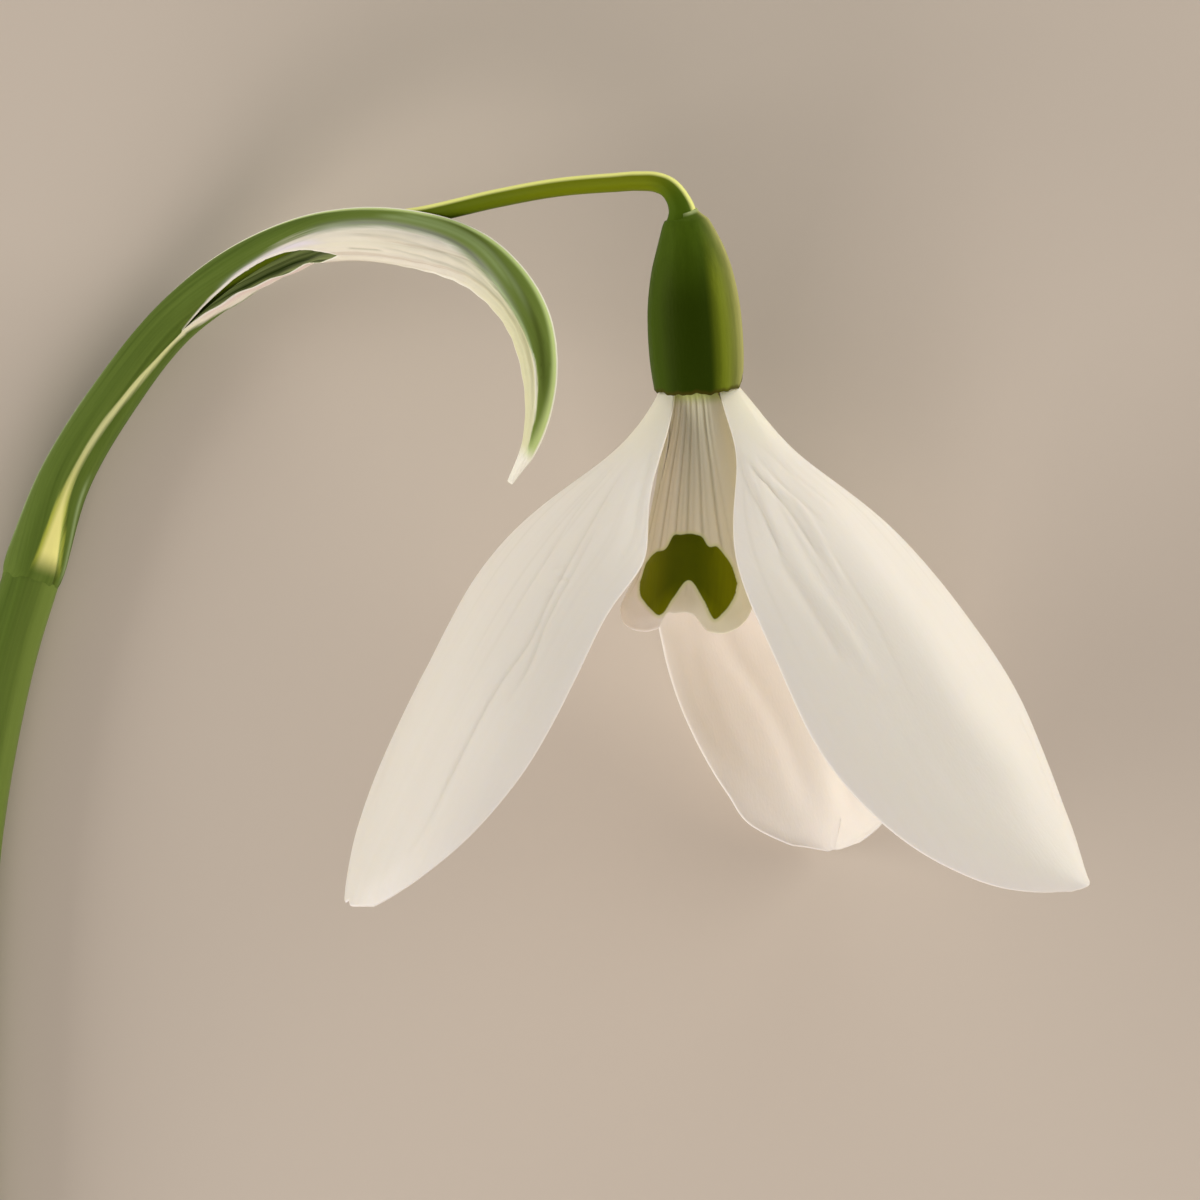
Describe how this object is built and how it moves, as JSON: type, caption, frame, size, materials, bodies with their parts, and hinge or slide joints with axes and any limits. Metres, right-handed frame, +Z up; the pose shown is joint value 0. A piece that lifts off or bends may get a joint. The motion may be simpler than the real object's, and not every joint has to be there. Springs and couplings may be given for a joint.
{
  "type": "snowdrop flower",
  "caption": "Picked snowdrop lying on its side: cut stem, arched bract, thin stalk, green ovary, spread outer petals and a short notched inner bell with stamens.",
  "frame": {"origin": "on the surface the flower lies on, under the middle of its box", "axes": "+Z up from the surface, +Y along the flower from the cut end of the stem towards the arch, +X from the stem towards the flower"},
  "size_m": [0.0524, 0.0657, 0.0273],
  "materials": {
    "scape_green": "glaucous green plant stem, satin",
    "spathe_green": "green keels joined by a thin cream membrane, satin",
    "pedicel_green": "olive green flower stalk, satin",
    "ovary_green": "deep green with faint lengthwise streaks, soft gloss",
    "outer_white": "white petal with fine lengthwise veins, soft sheen",
    "inner_white": "ribbed greenish white petal with a green mark at the notch",
    "anther_orange": "matt orange-yellow anther",
    "style_white": "pale greenish white, satin"
  },
  "bodies": {
    "root": {"scape": "scape_green", "spathe": "spathe_green", "pedicel": "pedicel_green", "ovary": "ovary_green", "outer_tepal_left": "outer_white", "outer_tepal_right": "outer_white", "outer_tepal_back": "outer_white", "inner_tepal_front": "inner_white", "inner_tepal_left": "inner_white", "inner_tepal_right": "inner_white", "stamen_1": "anther_orange", "stamen_2": "anther_orange", "stamen_3": "anther_orange", "stamen_4": "anther_orange", "stamen_5": "anther_orange", "stamen_6": "anther_orange", "style": "style_white"}
  },
  "joints": []
}
